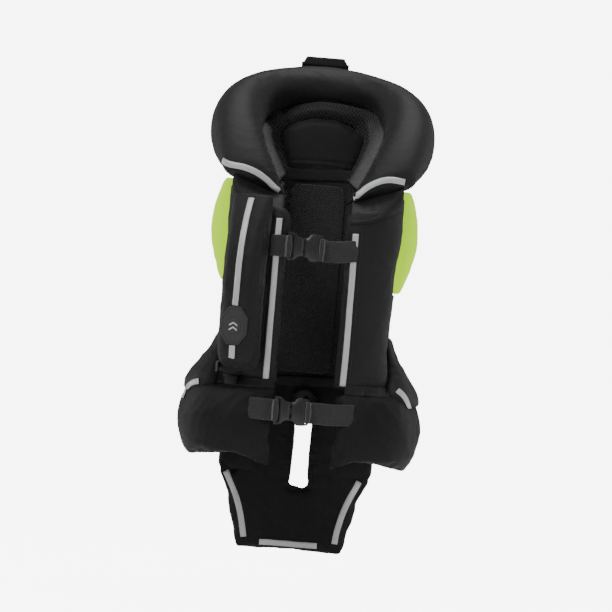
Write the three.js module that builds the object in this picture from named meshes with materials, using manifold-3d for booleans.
// Inflatable vest-type life jacket: collar, two front halves, back and tail, with its buckles and inflator.
// Millimetres, +Z up, front of the vest towards -Y. The origin is on the flat face of the spine pad that
// the wearer's back rests against, so the wearer's torso fills the space at negative Y.
import * as THREE from "three";
import { mergeVertices } from "three/addons/utils/BufferGeometryUtils.js";
import Module from "manifold-3d";

const wasm = await Module();
wasm.setup();

// ---------------------------------------------------------------- driving dimensions

const GAP = 0.6; // clearance between neighbouring pieces
const CLOTH = 2.5; // thickness of a cover or lining with its seam allowance
const TAPE_THICK = 0.9; // reflective tape
const TAPE_WIDE = 9;
const TAPE_LIFT = 1.1; // off the curved front covers

// Space for the torso, by height: half width, and half depth.
const TORSO_WIDTH = [[-260, 141], [-190, 140], [-120, 125], [-40, 121], [30, 124], [100, 130], [180, 128]];
const TORSO_DEPTH = [[-260, 94], [-190, 96], [-120, 91], [-40, 90], [30, 93], [100, 95], [180, 92]];
const FRONT_SQUARE = 3.2; // exponent of the torso's outline in front: higher is squarer
const BACK_SQUARE = 2.8;

const FRONT_PUFF = 13; // front bladder
const BACK_PUFF = 34; // back bladder at the spine
const WING_PUFF = 44; // hip wing at the side
const SEAM_Z = -124; // hem of the front covers, where the hip wings begin
const HEM_Z = -246; // lower edge of the hip wings
const TAIL_TOP_Z = -131;
const TAIL_END_Z = -385;
const NAPE_Z = 273; // top of the back cover behind the neck
const SHOULDER_Z = 190;
const WAIST_Z = -40; // where the torso is narrowest

const FRONT_EDGE = { left: -33, right: 41 }; // where the front halves end, either side of the opening
const WING_EDGE = { left: -34, right: 49 };
const FRONT_SIDE = 64; // degrees round the torso, from the front, to the armhole edge
const WING_END = 98;
const ROLL_START = 100;
const ROLL_END = 130;

const WEBBING = { wide: 32, thick: 1.7 };
const BUCKLE = { border: 4.5, thick: 10.5, maleThick: 8.4, fit: 0.8 }; // fit: clearance in the socket
const UPPER_BUCKLE_Z = 80;
const LOWER_BUCKLE_Z = -163;

const CYLINDER = { radius: 13, length: 112, neck: 7 };
const POCKET = { x: -84, wide: 66, top: 152, bottom: -106, clear: 4.5 }; // clear: round the cylinder
const BADGE = { z: -43, wide: 42, tall: 57, thick: 2.2 };

// ---------------------------------------------------------------- solids from surfaces

const mix = (a, b, t) => a + (b - a) * t;
const radians = (degrees) => (degrees * Math.PI) / 180;

// A value between the points of a table [[at, value], ...], eased so that it has no corners.
function eased(table, at) {
  const last = table.length - 1;
  if (at <= table[0][0]) return table[0][1];
  if (at >= table[last][0]) return table[last][1];
  const i = table.findIndex(([edge]) => edge > at) - 1;
  const share = (at - table[i][0]) / (table[i + 1][0] - table[i][0]);
  return mix(table[i][1], table[i + 1][1], share * share * (3 - 2 * share));
}

const shoulderHalfDepth = eased(TORSO_DEPTH, SHOULDER_Z);

function geometryOf(points, triangles) {
  const geometry = new THREE.BufferGeometry();
  geometry.setAttribute("position", new THREE.Float32BufferAttribute(points.flatMap((p) => p.toArray()), 3));
  geometry.setIndex(triangles);
  return geometry;
}

// Turns a closed geometry's faces outwards if its volume came out negative.
function facingOut(geometry) {
  const p = geometry.getAttribute("position");
  const index = geometry.index.array;
  const [a, b, c] = [new THREE.Vector3(), new THREE.Vector3(), new THREE.Vector3()];
  let volume = 0;
  for (let i = 0; i < index.length; i += 3) {
    a.fromBufferAttribute(p, index[i]);
    b.fromBufferAttribute(p, index[i + 1]);
    c.fromBufferAttribute(p, index[i + 2]);
    volume += a.dot(b.cross(c));
  }
  if (volume < 0) {
    for (let i = 0; i < index.length; i += 3) {
      [index[i + 1], index[i + 2]] = [index[i + 2], index[i + 1]];
    }
  }
  return geometry;
}

// The closed solid between two surfaces, each a function of u and v from 0 to 1.
function between(columns, rows, near, far) {
  const points = [];
  for (const side of [near, far])
    for (let j = 0; j <= rows; j++) for (let i = 0; i <= columns; i++) points.push(side(i / columns, j / rows));
  const at = (side, i, j) => (side * (rows + 1) + j) * (columns + 1) + i;
  const triangles = [];
  const quad = (a, b, c, d) => triangles.push(a, b, c, a, c, d);
  for (let j = 0; j < rows; j++)
    for (let i = 0; i < columns; i++) {
      quad(at(0, i, j), at(0, i + 1, j), at(0, i + 1, j + 1), at(0, i, j + 1));
      quad(at(1, i, j), at(1, i, j + 1), at(1, i + 1, j + 1), at(1, i + 1, j));
    }
  for (let i = 0; i < columns; i++) {
    quad(at(0, i, 0), at(1, i, 0), at(1, i + 1, 0), at(0, i + 1, 0));
    quad(at(0, i, rows), at(0, i + 1, rows), at(1, i + 1, rows), at(1, i, rows));
  }
  for (let j = 0; j < rows; j++) {
    quad(at(0, 0, j), at(0, 0, j + 1), at(1, 0, j + 1), at(1, 0, j));
    quad(at(0, columns, j), at(1, columns, j), at(1, columns, j + 1), at(0, columns, j + 1));
  }
  return facingOut(geometryOf(points, triangles));
}

// A pipe lofted through loops of points: solid with its ends capped, or hollow if inner loops are given.
function loft(outer, inner) {
  const sides = outer[0].length;
  const points = [...outer.flat(), ...(inner ? inner.flat() : [])];
  const triangles = [];
  const quad = (a, b, c, d) => triangles.push(a, b, c, a, c, d);
  const at = (wall, ring, k) => (wall * outer.length + ring) * sides + (k % sides);
  for (let r = 0; r < outer.length - 1; r++)
    for (let k = 0; k < sides; k++) {
      quad(at(0, r, k), at(0, r, k + 1), at(0, r + 1, k + 1), at(0, r + 1, k));
      if (inner) quad(at(1, r, k), at(1, r + 1, k), at(1, r + 1, k + 1), at(1, r, k + 1));
    }
  const last = outer.length - 1;
  for (let k = 0; k < sides; k++)
    if (inner) {
      quad(at(0, 0, k), at(1, 0, k), at(1, 0, k + 1), at(0, 0, k + 1));
      quad(at(0, last, k), at(0, last, k + 1), at(1, last, k + 1), at(1, last, k));
    } else if (k > 0 && k < sides - 1) {
      triangles.push(at(0, 0, 0), at(0, 0, k + 1), at(0, 0, k));
      triangles.push(at(0, last, 0), at(0, last, k), at(0, last, k + 1));
    }
  return facingOut(geometryOf(points, triangles));
}

function solidOf(geometry) {
  const plain = geometry.clone();
  plain.deleteAttribute("normal");
  plain.deleteAttribute("uv");
  const merged = mergeVertices(plain, 1e-3);
  return new wasm.Manifold(
    new wasm.Mesh({
      numProp: 3,
      vertProperties: new Float32Array(merged.getAttribute("position").array),
      triVerts: new Uint32Array(merged.index.array),
    }),
  );
}

function geometryFrom(solid) {
  const mesh = solid.getMesh();
  const geometry = new THREE.BufferGeometry();
  geometry.setAttribute("position", new THREE.Float32BufferAttribute(mesh.vertProperties, 3));
  geometry.setIndex([...mesh.triVerts]);
  return geometry;
}

const join = (...pieces) => geometryFrom(pieces.map(solidOf).reduce((a, b) => a.add(b)));
const cut = (body, ...tools) => geometryFrom(tools.map(solidOf).reduce((a, b) => a.subtract(b), solidOf(body)));

// A box between two opposite corners.
function block([x0, y0, z0], [x1, y1, z1]) {
  return new THREE.BoxGeometry(x1 - x0, y1 - y0, z1 - z0).translate((x0 + x1) / 2, (y0 + y1) / 2, (z0 + z1) / 2);
}

// An outline drawn in the X-Z plane, given thickness from y0 to y1.
function plate(outline, y0, y1, curveSteps = 5) {
  const shape = outline instanceof THREE.Shape ? outline : new THREE.Shape(outline.map(([x, z]) => new THREE.Vector2(x, z)));
  return new THREE.ExtrudeGeometry(shape, { depth: y1 - y0, bevelEnabled: false, curveSegments: curveSteps })
    .rotateX(Math.PI / 2)
    .translate(0, y1, 0);
}

// A round bar standing on z0.
const post = (radius, z0, z1, sides = 20) =>
  new THREE.CylinderGeometry(radius, radius, z1 - z0, sides).rotateX(Math.PI / 2).translate(0, 0, (z0 + z1) / 2);

// ---------------------------------------------------------------- the torso's surface

// A point at an angle round the torso (0 in front, 90 at the wearer's left, which is +X) and a distance off it.
function around(angle, z, off) {
  const width = eased(TORSO_WIDTH, z);
  const depth = eased(TORSO_DEPTH, z);
  const on = (degrees) => {
    const s = Math.sin(radians(degrees));
    const c = Math.cos(radians(degrees));
    const power = 2 / (c > 0 ? FRONT_SQUARE : BACK_SQUARE);
    return new THREE.Vector2(
      Math.sign(s) * width * Math.abs(s) ** power,
      -depth - Math.sign(c) * depth * Math.abs(c) ** power,
    );
  };
  const here = on(angle);
  const step = 1.5;
  const along = on(angle + step).sub(on(angle - step)).normalize();
  return new THREE.Vector3(here.x + along.y * off, here.y - along.x * off, z);
}

// The angle round the torso of a point of the front at x.
function angleAt(x, z) {
  const share = Math.min(Math.abs(x) / eased(TORSO_WIDTH, z), 1);
  return (Math.sign(x) * Math.asin(share ** (FRONT_SQUARE / 2)) * 180) / Math.PI;
}

// A padded or plain panel round the torso, from angle a to angle b and from a lower to an upper edge.
// Each edge is a number or a function; inner and outer are distances off the torso.
function panel(columns, rows, { from, to, low, high, inner, outer }) {
  const value = (edge, ...args) => (typeof edge === "function" ? edge(...args) : edge);
  const place = (off) => (u, v) => {
    const z = mix(value(low, u), value(high, u), v);
    const angle = mix(value(from, z), value(to, z), u);
    return around(angle, z, value(off, u, v));
  };
  return between(columns, rows, place(inner), place(outer));
}

// How full a cushion is at (u, v): 1 in the middle, falling to rim at its edges.
const pillow = (u, v, rim = 0.25) => {
  const across = (1 - Math.abs(2 * u - 1) ** 4) ** 0.5;
  const up = (1 - Math.abs(2 * v - 1) ** 6) ** 0.5;
  return mix(rim, 1, across * up);
};

// ---------------------------------------------------------------- materials

const finish = (color, roughness, metalness = 0) => new THREE.MeshStandardMaterial({ color, roughness, metalness });
const black_cloth = finish(0x242425, 0.72);
const inner_cloth = finish(0x1b1b1c, 0.85);
const mesh_cloth = finish(0x161617, 0.9);
const yellow_cloth = finish(0xd9ff3f, 0.6);
const bladder_film = finish(0x4a4d52, 0.5);
const tape_silver = finish(0xc9cbcc, 0.45);
const webbing_black = finish(0x1a1a1b, 0.8);
const plastic_black = finish(0x2a2a2b, 0.4);
const rubber_grey = finish(0x3b3b3c, 0.6);
const steel = finish(0xb5b8ba, 0.3, 1);
const foam_black = finish(0x202021, 0.9);

const jacket = new THREE.Group();
function add(name, geometry, material, parent = jacket) {
  const mesh = new THREE.Mesh(geometry, material);
  mesh.name = name;
  parent.add(mesh);
  return mesh;
}

const SIDES = [
  { side: "left", sign: -1 },
  { side: "right", sign: 1 },
];

// ---------------------------------------------------------------- back

const PAD = { wide: 84, low: -112, high: 172, thick: 7 };
// How far the torso's back has curved forward, half a pad's width from the spine.
const padShare = PAD.wide / 2 / eased(TORSO_WIDTH, WAIST_Z); // of the torso's half width
const backDip = shoulderHalfDepth * (1 - (1 - padShare ** BACK_SQUARE) ** (1 / BACK_SQUARE));
const LINING_OFF = PAD.thick + GAP + backDip;

function spinePad() {
  const half = PAD.wide / 2;
  const corner = 14;
  const shape = new THREE.Shape();
  shape.absarc(half - corner, PAD.high - corner, corner, 0, Math.PI / 2);
  shape.absarc(corner - half, PAD.high - corner, corner, Math.PI / 2, Math.PI);
  shape.absarc(corner - half, PAD.low + corner, corner, Math.PI, Math.PI * 1.5);
  shape.absarc(half - corner, PAD.low + corner, corner, Math.PI * 1.5, Math.PI * 2);
  return plate(shape, 0, PAD.thick, 4);
}

// Half width of the back cover in degrees from the spine.
const BACK_REACH = [[-122, 48], [0, 46], [100, 50], [165, 46], [195, 34]];
const backEdge = (z, trim = 0) => eased(BACK_REACH, z) - trim;
const backPanel = (columns, rows, low, high, trim, inner, outer) =>
  panel(columns, rows, {
    from: (z) => 180 - backEdge(z, trim),
    to: (z) => 180 + backEdge(z, trim),
    low,
    high,
    inner,
    outer,
  });

const backPuff = (u, v) => BACK_PUFF * pillow(u, v, 0.2);
const BLADDER_OFF = LINING_OFF + CLOTH + GAP;
const backTop = SHOULDER_Z - 4;

add("spine_pad", spinePad(), foam_black);
add("back_lining", backPanel(12, 12, -122, backTop, 0, LINING_OFF, LINING_OFF + CLOTH), mesh_cloth);
add(
  "back_bladder",
  backPanel(14, 12, -116, backTop - 8, 3, BLADDER_OFF, (u, v) => BLADDER_OFF + backPuff(u, v)),
  bladder_film,
);
add(
  "back_shell",
  backPanel(
    14,
    14,
    -122,
    backTop,
    0,
    (u, v) => BLADDER_OFF + 2 * GAP + backPuff(u, v),
    (u, v) => BLADDER_OFF + 2 * GAP + CLOTH + backPuff(u, v),
  ),
  black_cloth,
);

// The rolled edges of the back beside the armholes, in the high-visibility cloth.
const ROLL = { low: 20, high: 172, full: 32, ends: 15 };
for (const { side, sign } of SIDES) {
  const swell = (v) => mix(ROLL.ends, ROLL.full, Math.sin(Math.PI * v) ** 0.7);
  const round = (u, v) => swell(v) * mix(0.35, 1, (1 - Math.abs(2 * u - 1) ** 2.4) ** 0.5);
  const roll = panel(7, 10, {
    from: sign * ROLL_START,
    to: sign * ROLL_END,
    low: ROLL.low,
    high: ROLL.high,
    inner: 1,
    outer: (u, v) => 2 + round(u, v),
  });
  add("back_side_panel_" + side, roll, yellow_cloth);
}

// Elastic side panels at the waist, between the front halves and the back.
for (const { side, sign } of SIDES) {
  const web = panel(5, 8, {
    from: sign * (FRONT_SIDE + 1.5),
    to: sign * (180 - 50),
    low: SEAM_Z + 2,
    high: ROLL.low - 2,
    inner: 0.8,
    outer: 0.8 + CLOTH,
  });
  add("side_panel_" + side, web, mesh_cloth);
}

// Rear part of the hip padding, carried by the back.
const HIP_BACK_END = 150;
for (const { side, sign } of SIDES) {
  const rear = panel(5, 6, {
    from: sign * (WING_END + 16),
    to: sign * HIP_BACK_END,
    low: HEM_Z + 10,
    high: SEAM_Z - 2,
    inner: 2,
    outer: (u, v) => 2 + (WING_PUFF - 8) * pillow(u, v, 0.35),
  });
  add("hip_back_" + side, rear, black_cloth);
}

// ---------------------------------------------------------------- collar

// The collar's tube from the left lobe up to the middle of the back: x and z of its centre, how far forward
// it is as a share of the torso's depth, its half width, half thickness, and its width's slope in degrees.
const COLLAR = [
  { x: -88, forward: 0.924, z: 163, wide: 57, thick: 13, slope: 19 },
  { x: -104, forward: 0.859, z: 188, wide: 47, thick: 24, slope: 15 },
  { x: -119, forward: 0.696, z: 216, wide: 44, thick: 32, slope: 10 },
  { x: -127, forward: 0.457, z: 251, wide: 41, thick: 37, slope: 8 },
  { x: -120, forward: 0.228, z: 279, wide: 38, thick: 40, slope: 15 },
  { x: -97, forward: 0.022, z: 301, wide: 32, thick: 42, slope: 31 },
  { x: -54, forward: -0.147, z: 317, wide: 29, thick: 44, slope: 58 },
  { x: 0, forward: -0.207, z: 323, wide: 28.5, thick: 45, slope: 90 },
];
const SHOULDER_DEPTH = 2 * shoulderHalfDepth;
const COLLAR_WALL = 2.5;

const collarStations = [
  ...COLLAR,
  ...COLLAR.slice(0, -1)
    .reverse()
    .map((station) => ({ ...station, x: -station.x, slope: 180 - station.slope })),
];
const collarPath = new THREE.CatmullRomCurve3(
  collarStations.map(({ x, forward, z }) => new THREE.Vector3(x, -forward * SHOULDER_DEPTH, z)),
);
const smooth = (key) => new THREE.SplineCurve(collarStations.map((s, i) => new THREE.Vector2(i, s[key])));
const collarSizes = { wide: smooth("wide"), thick: smooth("thick"), slope: smooth("slope") };

// A point of the collar: along from 0 at the left lobe to 1 at the right one, and round it, where
// 0 is its outer edge, 90 its back, 180 the neck side and 270 its front.
function collarPoint(along, turn, grow = 0) {
  const centre = collarPath.getPoint(along);
  const slope = radians(collarSizes.slope.getPoint(along).y);
  const wide = new THREE.Vector3(-Math.cos(slope), 0, Math.sin(slope));
  const thick = new THREE.Vector3().crossVectors(wide, collarPath.getTangent(along)).normalize();
  const c = Math.cos(radians(turn));
  const s = Math.sin(radians(turn));
  const squareness = 0.88;
  return centre
    .addScaledVector(wide, (collarSizes.wide.getPoint(along).y + grow) * Math.sign(c) * Math.abs(c) ** squareness)
    .addScaledVector(thick, (collarSizes.thick.getPoint(along).y + grow) * Math.sign(s) * Math.abs(s) ** squareness);
}

function collarRings(count, sides, grow, start = 0) {
  const ring = (along) => Array.from({ length: sides }, (_, k) => collarPoint(along, (360 * k) / sides, grow));
  return Array.from({ length: count + 1 }, (_, i) => ring(mix(start, 1 - start, i / count)));
}

add("collar_shell", loft(collarRings(30, 18, 0), collarRings(30, 18, -COLLAR_WALL)), black_cloth);
add("collar_bladder", loft(collarRings(26, 12, -COLLAR_WALL - 3, 0.02)), bladder_film);

for (const { side, sign } of SIDES) {
  const start = sign < 0 ? 0.028 : 1 - 0.028;
  const end = start - sign * 0.026;
  const strip = (grow) => (u, v) =>
    collarPoint(mix(start, end, u), sign < 0 ? mix(196, 344, v) : mix(196, 344, 1 - v), grow);
  add("collar_tape_" + side, between(1, 12, strip(GAP), strip(GAP + TAPE_THICK)), tape_silver);
}

// ---------------------------------------------------------------- neck

const NECK_PAD = { low: 192, high: 275, shoulder: 250, wideLow: 50, wideHigh: 66, thick: 11 };
const NECK_BACK_Y = 15; // rear face of the neck pad

// Height of the pad's arched top at x.
const padTop = (x) => mix(NECK_PAD.high, NECK_PAD.shoulder, (Math.abs(x) / NECK_PAD.wideHigh) ** 2.4);
const neckPad = (bulge) => (u, v) => {
  const halfWidth = mix(NECK_PAD.wideLow, NECK_PAD.wideHigh, v ** 0.6);
  const x = mix(-halfWidth, halfWidth, u);
  return new THREE.Vector3(x, NECK_BACK_Y - bulge * pillow(u, v, 0.45), mix(NECK_PAD.low, padTop(x), v));
};
add("neck_pad", between(10, 8, neckPad(0), neckPad(NECK_PAD.thick)), inner_cloth);

// The rear cover of the neck, up to the collar.
const NAPE = { wideLow: 92, wideHigh: 74, thick: CLOTH, y: NECK_BACK_Y + GAP, low: SHOULDER_Z + 1 };
const nape = (off) => (u, v) => {
  const halfWidth = mix(NAPE.wideLow, NAPE.wideHigh, v);
  const x = mix(-halfWidth, halfWidth, u);
  return new THREE.Vector3(x, NAPE.y + off - (x / halfWidth) ** 4 * 6, mix(NAPE.low, NAPE_Z, v));
};
add("nape_cover", between(10, 6, nape(6.5), nape(6.5 + NAPE.thick)), black_cloth);

// The mesh band inside the collar: from the collar's neck side to just round the neck pad.
const BAND = { thick: 3, start: 0.12, clear: 2.2 };
const band = (layer) => (u, v) => {
  const along = mix(BAND.start, 1 - BAND.start, u);
  const top = collarPoint(along, 180, BAND.clear);
  const sweep = mix(-1, 1, u);
  const reach = NECK_PAD.wideHigh + 4;
  const x = reach * Math.sin((sweep * Math.PI) / 2);
  const low = new THREE.Vector3(
    x,
    mix(1, -22, Math.abs(sweep) ** 2),
    mix(NECK_PAD.high + 3, 206, Math.abs(sweep) ** 2.6),
  );
  const inward = new THREE.Vector3(-sweep, -1 + 0.6 * Math.abs(sweep), 0).normalize();
  return top.lerp(low, v).addScaledVector(inward, layer * BAND.thick);
};
add("neck_mesh_band", between(22, 3, band(0), band(1)), mesh_cloth);

// The folded tab on top of the collar, which the jacket hangs by.
const TAB = { x: -5, wideLow: 37, wideHigh: 29, low: 353.2, high: 367, y: 40, depth: 5, ply: 1.6 };
function hangingTab() {
  const { x, wideLow, wideHigh, low, high } = TAB;
  const face = plate(
    [[x - wideLow, low], [x + wideLow, low], [x + wideHigh, high], [x - wideHigh, high]],
    TAB.y - TAB.depth,
    TAB.y + TAB.depth,
  );
  const tunnel = block(
    [x - 2 * wideLow, TAB.y - TAB.depth + TAB.ply, low + TAB.ply],
    [x + 2 * wideLow, TAB.y + TAB.depth - TAB.ply, high - TAB.ply],
  );
  return cut(face, tunnel);
}
add("hanging_tab", hangingTab(), webbing_black);

// Shoulder yokes: the straps over the shoulders, under the collar, from the front halves to the back.
const YOKE = { inner: 52, outer: 96, front: 0.88, back: 25, low: 128, rise: 42, thick: 6 };
for (const { side, sign } of SIDES) {
  const yoke = (off) => (u, v) => {
    const x = sign * mix(YOKE.inner, YOKE.outer, u);
    const y = mix(-YOKE.front * SHOULDER_DEPTH, -YOKE.back, v);
    return new THREE.Vector3(x, y, YOKE.low + YOKE.rise * Math.sin(Math.PI * mix(0, 0.78, v)) + off - 5 * u);
  };
  add("shoulder_yoke_" + side, between(4, 10, yoke(0), yoke(YOKE.thick)), inner_cloth);
}

// ---------------------------------------------------------------- front halves

const BLADDER_FRONT = 4;
const SHELL_FRONT = BLADDER_FRONT + FRONT_PUFF + GAP;
const SHELL_FACE = SHELL_FRONT + CLOTH; // outer face of a front cover

// The sloping shoulder seam's height at u, from the front edge to the armhole.
const shoulderSeam = (u) => mix(134, 168, u ** 0.85);
const frontHalf = (sign, columns, rows, trim, inner, outer) => {
  const edge = sign < 0 ? FRONT_EDGE.left : FRONT_EDGE.right;
  return panel(columns, rows, {
    from: (z) => angleAt(edge, z) + sign * trim,
    to: sign * (FRONT_SIDE - trim),
    low: SEAM_Z + trim,
    high: (u) => shoulderSeam(u) - 3 * trim,
    inner,
    outer,
  });
};
const frontPuff = (u, v) => FRONT_PUFF * pillow(u, v, 0.35);

for (const { side, sign } of SIDES) {
  const bladder = frontHalf(sign, 8, 14, 1.5, BLADDER_FRONT, (u, v) => BLADDER_FRONT + frontPuff(u, v));
  const shell = frontHalf(
    sign,
    8,
    16,
    0,
    (u, v) => BLADDER_FRONT + GAP + frontPuff(u, v),
    (u, v) => BLADDER_FRONT + GAP + CLOTH + frontPuff(u, v),
  );
  add("front_bladder_" + side, bladder, bladder_film);
  add("front_shell_" + side, shell, black_cloth);
}

// Hip wings: the padded lower ends of the front halves, wrapped round the hips.
const wingPuff = (u, v) => {
  const full = mix(12, WING_PUFF, Math.sin((Math.PI / 2) * u) ** 1.2);
  const swell = Math.sin(Math.PI * Math.min(1 - v, 0.999) ** 0.62) ** 0.55; // fullest below the middle
  return full * mix(0.3, 1, swell * (1 - Math.abs(2 * u - 1) ** 5) ** 0.5);
};
for (const { side, sign } of SIDES) {
  const edge = sign < 0 ? WING_EDGE.left : WING_EDGE.right;
  const wing = panel(12, 8, {
    from: (z) => angleAt(edge, z),
    to: sign * WING_END,
    low: HEM_Z,
    high: SEAM_Z - GAP,
    inner: 2,
    outer: (u, v) => 2 + wingPuff(u, v),
  });
  add("hip_wing_" + side, wing, black_cloth);
  const tape = (off) => (u, v) => {
    const across = mix(0.8, 0.89, u);
    const along = mix(0.46, 0.7, v);
    const z = mix(HEM_Z, SEAM_Z - GAP, across);
    const angle = mix(angleAt(edge, z), sign * WING_END, along);
    return around(angle, z, 2 + wingPuff(along, across) + off);
  };
  add("hip_tape_" + side, between(2, 8, tape(GAP), tape(GAP + TAPE_THICK)), tape_silver);
}

// Reflective tapes beside the front opening.
const FRONT_TAPE = { left: { x: -52, high: 120 }, right: { x: 58, high: 106 } };
const puffAt = (sign, x, z) => {
  const edge = angleAt(sign < 0 ? FRONT_EDGE.left : FRONT_EDGE.right, z);
  const u = (angleAt(x, z) - edge) / (sign * FRONT_SIDE - edge);
  const v = (z - SEAM_Z) / (shoulderSeam(u) - SEAM_Z);
  return BLADDER_FRONT + GAP + CLOTH + frontPuff(Math.min(Math.max(u, 0), 1), Math.min(Math.max(v, 0), 1));
};
const onFront = (sign, x, z, off) => around(angleAt(x, z), z, puffAt(sign, x, z) + off);
for (const { side, sign } of SIDES) {
  const { x, high } = FRONT_TAPE[side];
  const strip = (off) => (u, v) =>
    onFront(sign, x + (u - 0.5) * TAPE_WIDE, mix(SEAM_Z + 4, high, v), off);
  add("front_tape_" + side, between(1, 16, strip(TAPE_LIFT), strip(TAPE_LIFT + TAPE_THICK)), tape_silver);
}

// ---------------------------------------------------------------- inflator pocket

const CYLINDER_OUT = CYLINDER.radius + POCKET.clear - 0.5; // middle of the cylinder, off the pocket's base
const pocketDeep = 2 * (CYLINDER.radius + POCKET.clear);
// The pocket stands off the left front cover. Its own axes are across, out and up from a point of the cover.
const pocketAngle = angleAt(POCKET.x, 20);
const pocketFoot = around(pocketAngle, 20, 0);
const pocketOut = around(pocketAngle, 20, 1).sub(pocketFoot);
const pocketAcross = new THREE.Vector3(pocketOut.y, -pocketOut.x, 0).multiplyScalar(-1);
const POCKET_BASE = SHELL_FACE + 3; // where the pocket's rim rests
function inPocket(across, out, z) {
  return pocketFoot
    .clone()
    .addScaledVector(pocketAcross, across)
    .addScaledVector(pocketOut, POCKET_BASE + out)
    .setZ(z);
}
const inPocketFrame = new THREE.Matrix4().makeBasis(pocketAcross, pocketOut.clone().negate(), new THREE.Vector3(0, 0, 1));
inPocketFrame.setPosition(pocketFoot.clone().addScaledVector(pocketOut, POCKET_BASE).setZ(0));

const pocketRise = (u, v) => {
  const across = (1 - Math.abs(2 * u - 1) ** 5) ** 0.5;
  const up = v < 0.5 ? (1 - Math.abs(2 * v - 1) ** 14) ** 0.5 : mix(1, 0.12, ((v - 0.5) * 2) ** 2.2);
  return mix(0.02, 1, across * up);
};
const pocketWall = (inset) => (u, v) => {
  const half = POCKET.wide / 2;
  const z = mix(POCKET.bottom, POCKET.top, v);
  const corner = v < 0.1 ? 1 - 0.22 * (1 - v / 0.1) ** 2 : 1;
  return inPocket(mix(-half, half, u) * corner, CLOTH + (pocketDeep - inset) * pocketRise(u, v) - inset * 0.6, z);
};
add("pocket_cover", between(14, 22, pocketWall(CLOTH), pocketWall(0)), black_cloth);

// A face point of the pocket cover at a distance across and up, standing off it.
function onPocket(across, z, off) {
  const u = across / POCKET.wide + 0.5;
  const v = (z - POCKET.bottom) / (POCKET.top - POCKET.bottom);
  return inPocket(across, CLOTH + pocketDeep * pocketRise(u, v) + off, z);
}
const pocketStrip = (low, high, rows) => {
  const strip = (off) => (u, v) => onPocket((u - 0.5) * TAPE_WIDE, mix(low, high, v), off);
  return between(1, rows, strip(GAP), strip(GAP + TAPE_THICK));
};
add("pocket_tape_upper", pocketStrip(BADGE.z + BADGE.tall / 2 + 1, 146, 12), tape_silver);
add("pocket_tape_lower", pocketStrip(-91, BADGE.z - BADGE.tall / 2 - 1, 2), tape_silver);

// The badge, a long hexagon moulded in soft plastic.
function hexBadge() {
  const [w, t] = [BADGE.wide / 2, BADGE.tall / 2];
  const outline = [[-w * 0.45, -t], [w * 0.45, -t], [w, -t * 0.12], [w, t * 0.12], [w * 0.45, t], [-w * 0.45, t], [-w, t * 0.12], [-w, -t * 0.12]];
  const face = CLOTH + pocketDeep + GAP;
  return plate(outline, -face - BADGE.thick, -face).translate(0, 0, BADGE.z).applyMatrix4(inPocketFrame);
}
add("hex_badge", hexBadge(), rubber_grey);

// Gas cylinder and inflator, upright in the pocket.
const HEAD = { wide: 26, deep: 24, low: -70, high: -34 };
const NECK_LONG = 12;
function gasCylinder() {
  const { radius, length, neck } = CYLINDER;
  const foot = HEAD.high + GAP;
  const profile = [[0, foot], [neck, foot], [neck, foot + NECK_LONG]];
  const shoulderHigh = foot + NECK_LONG + 8;
  for (let k = 1; k <= 4; k++) {
    const turn = (k / 4) * (Math.PI / 2);
    profile.push([mix(neck, radius, Math.sin(turn)), mix(foot + NECK_LONG, shoulderHigh, 1 - Math.cos(turn))]);
  }
  const top = foot + length;
  for (let k = 0; k <= 4; k++) {
    const turn = (k / 4) * (Math.PI / 2);
    profile.push([radius * Math.cos(turn), top - radius * 0.6 * (1 - Math.sin(turn))]);
  }
  profile[profile.length - 1][0] = 0;
  const points = profile.map(([r, z]) => new THREE.Vector2(r, z));
  return new THREE.LatheGeometry(points, 20).rotateX(Math.PI / 2).translate(0, -CYLINDER_OUT, 0).applyMatrix4(inPocketFrame);
}
add("gas_cylinder", facingOut(mergeVertices(positionsOnly(gasCylinder()), 1e-3)), steel);

function positionsOnly(geometry) {
  geometry.deleteAttribute("normal");
  geometry.deleteAttribute("uv");
  return geometry;
}

const PIN = { radius: 2.2, head: 4.5, headThick: 3, travel: 5 };
const LEVER = { thick: 4, wide: 5, long: 17, hub: 6, x: 3 - HEAD.wide / 2, z: -60 };
function inflatorBody() {
  const [w, d, t] = [HEAD.wide / 2, HEAD.deep / 2, LEVER.thick / 2 + GAP];
  const casting = block([-w, -CYLINDER_OUT - d, HEAD.low], [w, -CYLINDER_OUT + d, HEAD.high]);
  const bore = post(PIN.radius + 0.3, HEAD.low - 1, HEAD.high + 1, 12).translate(0, -CYLINDER_OUT, 0);
  const slot = block(
    [-w - 1, -CYLINDER_OUT - t, LEVER.z - LEVER.hub - GAP],
    [LEVER.x + LEVER.hub + GAP, -CYLINDER_OUT + t, LEVER.z + LEVER.long + GAP],
  );
  return cut(casting, bore, slot).applyMatrix4(inPocketFrame);
}
add("inflator_body", inflatorBody(), plastic_black);

// The pin that pierces the cylinder's seal, its head a full travel below the casting.
function piercingPin() {
  const headTop = HEAD.low - PIN.travel - GAP;
  const shank = post(PIN.radius, headTop - 1, HEAD.high - PIN.travel - GAP, 12);
  const head = post(PIN.head, headTop - PIN.headThick, headTop, 12);
  return join(shank, head).translate(0, -CYLINDER_OUT, 0).applyMatrix4(inPocketFrame);
}
add("piercing_pin", piercingPin(), steel);

// The firing lever: a cam in the casting's slot that turns outwards when its cord is pulled.
function firingLever() {
  const hub = new THREE.CylinderGeometry(LEVER.hub, LEVER.hub, LEVER.thick, 14);
  const arm = block([-LEVER.wide / 2, -LEVER.thick / 2, 0], [LEVER.wide / 2, LEVER.thick / 2, LEVER.long]);
  return join(hub, arm).translate(LEVER.x, -CYLINDER_OUT, LEVER.z).applyMatrix4(inPocketFrame);
}
add("firing_lever", firingLever(), plastic_black);

// The nut that clamps the inflator to the bladder's valve.
add(
  "valve_nut",
  new THREE.CylinderGeometry(9, 9, 3, 6).translate(0, -2.2, -56).applyMatrix4(inPocketFrame),
  steel,
);

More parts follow.
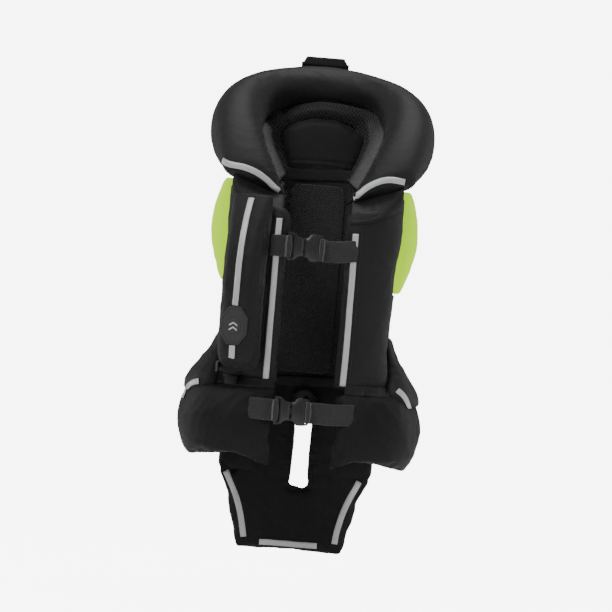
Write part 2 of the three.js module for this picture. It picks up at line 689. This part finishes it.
// The zip beside the pocket, with its slider and pull.
const ZIP = { angle: -53.5, off: 19, low: -112, high: -22, wide: 5, thick: 1.8 };
const SLIDER = { low: ZIP.low + 4, long: 9, wide: 8, thick: 3.4 };
const PULL = { low: ZIP.low - 3, long: 15, wide: 5, thick: 1.4 };
const zipFoot = around(ZIP.angle, 20, ZIP.off);
const zipOut = around(ZIP.angle, 20, ZIP.off + 1).sub(zipFoot);
const zipBlock = (wide, out, thick, low, high) =>
  block([-wide / 2, -out - thick, low], [wide / 2, -out, high])
    .rotateZ(Math.atan2(zipOut.x, -zipOut.y))
    .translate(zipFoot.x, zipFoot.y, 0);
add("zip_chain", zipBlock(ZIP.wide, 0, ZIP.thick, ZIP.low, ZIP.high), plastic_black);
const sliderFoot = ZIP.thick + GAP;
const pullFoot = sliderFoot + SLIDER.thick + 2 * GAP; // room for the pull's top end to swing
add("zip_slider", zipBlock(SLIDER.wide, sliderFoot, SLIDER.thick, SLIDER.low, SLIDER.low + SLIDER.long), steel);
add("zip_pull", zipBlock(PULL.wide, pullFoot, PULL.thick, PULL.low, PULL.low + PULL.long), steel);

// ---------------------------------------------------------------- buckles and straps

// The middle of the buckles' thickness: they lie just clear of the tapes on the front covers.
const tapeFace = SHELL_FACE + TAPE_LIFT + TAPE_THICK;
const BUCKLE_Y = -2 * eased(TORSO_DEPTH, UPPER_BUCKLE_Z) - tapeFace - BUCKLE.thick / 2 - GAP;

const BASE = { left: -38, right: -14 }; // body of the male half
const SOCKET = { left: -12, right: 14 }; // the female half
const SOCKET_END = 6; // closed end of the socket
const WINDOW_LEFT = -7; // the latches show from here to the closed end
const BAR = { wide: 4, slot: 4 }; // webbing bar at each outer end
const PRONG_END = 4;
const LATCH = { root: -13.4, rootZ: WEBBING.wide / 2 - 4.5, wide: 3.6, barb: 3.4 };
const PRONG_THICK = 3.6;
const half = WEBBING.wide / 2 + BUCKLE.border;
const maleHalf = BUCKLE.maleThick / 2;
const THROUGH = 9; // reaches past both faces of a buckle

// The male half without its latches: a body with a webbing slot and a central guide.
function buckleMale() {
  const outline = [
    [BASE.left, -half + 3], [BASE.left + 3, -half], [BASE.right - 9, -half], [BASE.right, -half + 6],
    [BASE.right, half - 6], [BASE.right - 9, half], [BASE.left + 3, half], [BASE.left, half - 3],
  ];
  const body = plate(outline, -maleHalf, maleHalf);
  const guide = block([BASE.right - 1, -PRONG_THICK / 2, -4], [PRONG_END - 2, PRONG_THICK / 2, 4]);
  const slot = block(
    [BASE.left + BAR.wide, -THROUGH, -WEBBING.wide / 2 - 1],
    [BASE.left + BAR.wide + BAR.slot, THROUGH, WEBBING.wide / 2 + 1],
  );
  const reliefs = [-1, 1].map((way) => {
    const middle = way * LATCH.rootZ;
    return block([LATCH.root - 2.6, -THROUGH, middle - 4.4], [BASE.right + 1, THROUGH, middle + 4.4]);
  });
  return cut(join(body, guide), slot, ...reliefs);
}

// A latch arm, its barb pointing outwards.
function latchArm(way) {
  const [x, z, w] = [LATCH.root, LATCH.rootZ, LATCH.wide / 2];
  const outline = [
    [x - 2, z - w], [PRONG_END, z - w + 1], [PRONG_END, z + w], [PRONG_END - 4, z + w + LATCH.barb],
    [PRONG_END - 8, z + w + LATCH.barb - 0.4], [PRONG_END - 10, z + w], [x - 2, z + w],
  ];
  return plate(way < 0 ? outline.map(([a, b]) => [a, -b]).reverse() : outline, -PRONG_THICK / 2, PRONG_THICK / 2);
}

// The female half: a socket with windows for the latches and a webbing slot.
function buckleFemale() {
  const deep = BUCKLE.thick / 2;
  const outline = [
    [SOCKET.left, -half + 2], [SOCKET.left + 2, -half], [SOCKET.right - 3, -half], [SOCKET.right, -half + 3],
    [SOCKET.right, half - 3], [SOCKET.right - 3, half], [SOCKET.left + 2, half], [SOCKET.left, half - 2],
  ];
  const mouth = LATCH.rootZ + LATCH.wide / 2 + LATCH.barb + BUCKLE.fit;
  const room = PRONG_THICK / 2 + BUCKLE.fit;
  const cavity = block([SOCKET.left - 1, -room, -mouth], [SOCKET_END, room, mouth]);
  const windows = [-1, 1].map((way) => {
    const [low, high] = [way * LATCH.rootZ, way * (half + 1)].sort((a, b) => a - b);
    return block([WINDOW_LEFT, -room, low], [SOCKET_END - 1, room, high]);
  });
  const slot = block(
    [SOCKET.right - BAR.wide - BAR.slot + 1, -THROUGH, -WEBBING.wide / 2 - 1],
    [SOCKET.right - BAR.wide + 1, THROUGH, WEBBING.wide / 2 + 1],
  );
  return cut(plate(outline, -deep, deep), cavity, ...windows, slot);
}

// Webbing seen from above: out from its anchor, through a slot, round the bar and back on itself.
function webbing(points, z) {
  const t = WEBBING.thick / 2;
  const path = points.map(([x, y]) => new THREE.Vector2(x, y));
  const offset = (way) =>
    path.map((p, i) => {
      const before = path[Math.max(i - 1, 0)];
      const after = path[Math.min(i + 1, path.length - 1)];
      const along = after.clone().sub(before).normalize();
      return new THREE.Vector2(p.x - along.y * way * t, p.y + along.x * way * t);
    });
  const shape = new THREE.Shape([...offset(1), ...offset(-1).reverse()]);
  return new THREE.ExtrudeGeometry(shape, { depth: WEBBING.wide, bevelEnabled: false }).translate(0, 0, z - WEBBING.wide / 2);
}

// A loop of webbing round the bar from bar0 to bar1, reaching the anchor on the vest.
function strapPath(bar0, bar1, way, anchor, depth) {
  const clear = WEBBING.thick / 2 + 0.45;
  const out = way < 0 ? bar0 - clear : bar1 + clear;
  const slotX = way < 0 ? bar1 + clear + 0.35 : bar0 - clear - 0.35;
  const [front, back] = [BUCKLE_Y - depth - clear, BUCKLE_Y + depth + clear];
  return [
    anchor,
    [out + way * 9, back + 0.4 * (anchor[1] - back)],
    [out + way * 2.5, back - 0.6],
    [out, back - depth * 0.4],
    [out, front + 0.9],
    [out - way * 0.9, front],
    [slotX + way * 0.9, front],
    [slotX, front + 0.9],
    [slotX, back + 1.4],
  ];
}

const anchors = {
  upper_left: { z: UPPER_BUCKLE_Z, x: -56, sign: -1 },
  upper_right: { z: UPPER_BUCKLE_Z, x: 58, sign: 1 },
  lower_left: { z: LOWER_BUCKLE_Z, x: -70, sign: -1 },
  lower_right: { z: LOWER_BUCKLE_Z, x: 72, sign: 1 },
};
for (const [name, { z, x, sign }] of Object.entries(anchors)) {
  const depth = sign < 0 ? maleHalf : BUCKLE.thick / 2;
  const [bar0, bar1] = sign < 0 ? [BASE.left, BASE.left + BAR.wide] : [SOCKET.right - BAR.wide + 1, SOCKET.right];
  const rest = BUCKLE_Y + (sign < 0 ? 3 : 2);
  add("strap_" + name, webbing(strapPath(bar0, bar1, sign, [x, rest], depth), z), webbing_black);
}

for (const [level, z] of [["upper", UPPER_BUCKLE_Z], ["lower", LOWER_BUCKLE_Z]]) {
  add(`buckle_${level}_male`, buckleMale().translate(0, BUCKLE_Y, z), plastic_black);
  add(`buckle_${level}_female`, buckleFemale().translate(0, BUCKLE_Y, z), plastic_black);
  add(`latch_${level}_top`, latchArm(1).translate(0, BUCKLE_Y, z), plastic_black);
  add(`latch_${level}_bottom`, latchArm(-1).translate(0, BUCKLE_Y, z), plastic_black);
}

// ---------------------------------------------------------------- tail

const tailNeck = around(HIP_BACK_END, -180, 2).x - 4; // between the rear hip paddings
const neckTop = around(HIP_BACK_END, TAIL_TOP_Z, 2).x; // narrower still, where the paddings end
const TAIL_WIDTH = [
  [-385, 78], [-374, 84], [-312, 98], [-270, 114], [-256, 116], [-243, tailNeck], [TAIL_TOP_Z + 1, neckTop],
];
const TAIL_SLOT = { x: 7, wide: 21, low: -283, high: -152 };
const TAIL_PUFF = 26;
const TAIL_Y = 4; // front face of the tail

const tailFace = (off) => (u, v) => {
  const z = mix(TAIL_END_Z, TAIL_TOP_Z, v);
  const halfWidth = eased(TAIL_WIDTH, z);
  const x = mix(-halfWidth, halfWidth, u);
  return new THREE.Vector3(x, TAIL_Y + (typeof off === "function" ? off(u, v) : off) - (x / 100) ** 2 * 10, z);
};
const tailPuff = (u, v) => TAIL_PUFF * pillow(u, v, 0.25);
function tailSlot(margin) {
  const { x, wide, low, high } = TAIL_SLOT;
  return block([x - wide / 2 - margin, -100, low - margin], [x + wide / 2 + margin, 100, high + margin]);
}
add("tail_lining", cut(between(12, 16, tailFace(0), tailFace(CLOTH)), tailSlot(0)), black_cloth);
const tailInside = CLOTH + GAP;
add(
  "tail_bladder",
  cut(between(12, 16, tailFace(tailInside), tailFace((u, v) => tailInside + tailPuff(u, v))), tailSlot(4)),
  bladder_film,
);
add(
  "tail_shell",
  cut(
    between(
      12,
      16,
      tailFace((u, v) => tailInside + GAP + tailPuff(u, v)),
      tailFace((u, v) => tailInside + GAP + CLOTH + tailPuff(u, v)),
    ),
    tailSlot(0),
  ),
  black_cloth,
);

// Reflective tapes on the front of the tail, each from one point to another with a bow towards the middle.
function tailTape(from, to, bow) {
  const [a, b] = [new THREE.Vector2(...from), new THREE.Vector2(...to)];
  const across = b.clone().sub(a).normalize().rotateAround(new THREE.Vector2(), Math.PI / 2);
  const strip = (off) => (u, v) => {
    const p = a.clone().lerp(b, v).addScaledVector(across, (u - 0.5) * TAPE_WIDE + bow * 4 * v * (1 - v));
    return new THREE.Vector3(p.x, TAIL_Y - off - (p.x / 100) ** 2 * 10, p.y);
  };
  return between(1, 8, strip(GAP), strip(GAP + TAPE_THICK));
}
add("tail_tape_left", tailTape([-103, -272], [-70, -367], 5), tape_silver);
add("tail_tape_right", tailTape([99, -272], [69, -367], -5), tape_silver);
add("tail_tape_bottom", tailTape([-45, -374], [43, -374], 0), tape_silver);

export default jacket;
